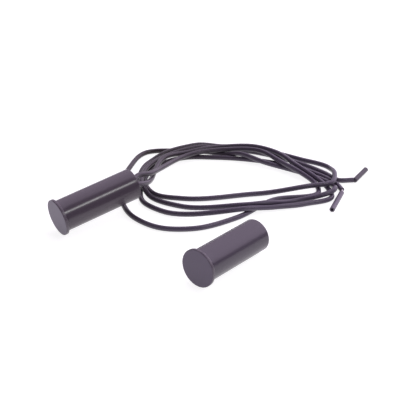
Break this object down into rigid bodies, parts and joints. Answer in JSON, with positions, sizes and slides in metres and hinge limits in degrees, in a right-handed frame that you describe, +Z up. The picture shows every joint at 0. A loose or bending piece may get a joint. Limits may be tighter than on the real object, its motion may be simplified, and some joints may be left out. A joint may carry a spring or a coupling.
{
  "type": "recessed magnetic door contact",
  "caption": "Round press-fit reed switch with a front flange and loose wire leads, beside its matching round magnet unit.",
  "frame": {"origin": "on the floor, under the middle of the box around the switch and the magnet unit; the leads and their ends are left out of that box", "axes": "+X from the switch's flange to its lifted tail, seen from above; +Y from the magnet unit towards the switch; +Z up from the floor"},
  "size_m": [0.1009, 0.0794, 0.0133],
  "materials": {
    "housing_plastic": "satin moulded plastic",
    "capsule_glass": "clear",
    "nickel_iron": "drawn",
    "reed_plated": "plated",
    "tinned_metal": "tinned",
    "copper": "bare drawn wire",
    "pale_sleeve": "matt",
    "black_shrink": "satin",
    "carrier_rubber": "matt",
    "potting_resin": "cast",
    "lead_jacket": "soft satin",
    "magnet_metal": "ground",
    "foam_pad": "open foam"
  },
  "bodies": {
    "switch": {"switch_housing": "housing_plastic", "reed_glass": "capsule_glass", "reed_front_pin": "nickel_iron", "reed_rear_pin": "nickel_iron", "front_link": "tinned_metal", "return_wire": "copper", "return_sleeve": "pale_sleeve", "splice_a": "tinned_metal", "splice_b": "tinned_metal", "shrink_sleeve_a": "black_shrink", "shrink_sleeve_b": "black_shrink", "reed_carrier": "carrier_rubber", "switch_potting": "potting_resin", "lead_a": "lead_jacket", "lead_b": "lead_jacket", "lead_a_core": "copper", "lead_b_core": "copper", "lead_a_stub": "lead_jacket", "lead_b_stub": "lead_jacket"},
    "front_reed": {"reed_front_blade": "reed_plated"},
    "rear_reed": {"reed_rear_blade": "reed_plated"},
    "magnet_unit": {"magnet_housing": "housing_plastic", "magnet": "magnet_metal", "magnet_pad": "foam_pad", "magnet_plug": "potting_resin"}
  },
  "joints": [
    {"name": "front_reed_bend", "type": "hinge", "parent": "switch", "child": "front_reed", "pos_m": [-0.01413, 0.02121, 0.00613], "axis": [0, -1, 0], "range_deg": [0, 0.5], "stiffness_Nm_per_rad": 0.001},
    {"name": "rear_reed_bend", "type": "hinge", "parent": "switch", "child": "rear_reed", "pos_m": [-0.00609, 0.02121, 0.00742], "axis": [0, -1, 0], "range_deg": [0, 0.5], "stiffness_Nm_per_rad": 0.001},
    {"name": "magnet_slide", "type": "slide", "parent": "switch", "child": "magnet_unit", "axis": [0, -1, 0], "range_m": [0, 0.03]}
  ],
  "couplings": [
    {"joint": "rear_reed_bend", "follows": "front_reed_bend", "ratio": 1}
  ]
}
